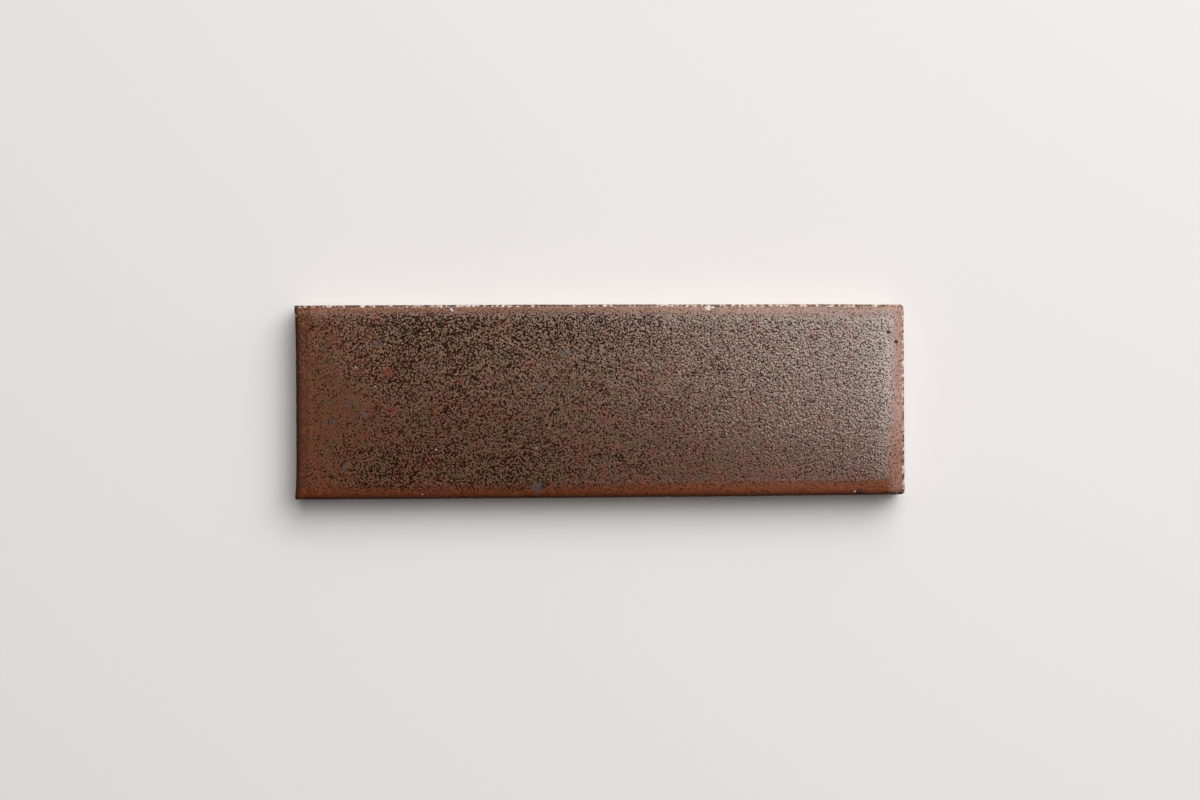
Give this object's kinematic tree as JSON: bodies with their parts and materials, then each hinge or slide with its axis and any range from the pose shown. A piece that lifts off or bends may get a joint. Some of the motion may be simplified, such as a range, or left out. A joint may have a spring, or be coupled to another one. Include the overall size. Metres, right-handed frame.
{
  "type": "brick slip",
  "caption": "Thin glazed clay facing brick with a pebbled face, rolled edges and a dovetail-keyed back, to be bedded on a wall.",
  "frame": {"origin": "middle of the slip's box, in the plane of its back, which is the plane it lies on", "axes": "+X along the slip's length towards its greyer end, +Z out of the back, through the slip and off its glazed face, +Y up the face as the slip is laid in a wall"},
  "size_m": [0.21, 0.0668, 0.015],
  "materials": {
    "fired_clay": "satin"
  },
  "bodies": {
    "root": {"brick_slip": "fired_clay"}
  },
  "joints": []
}
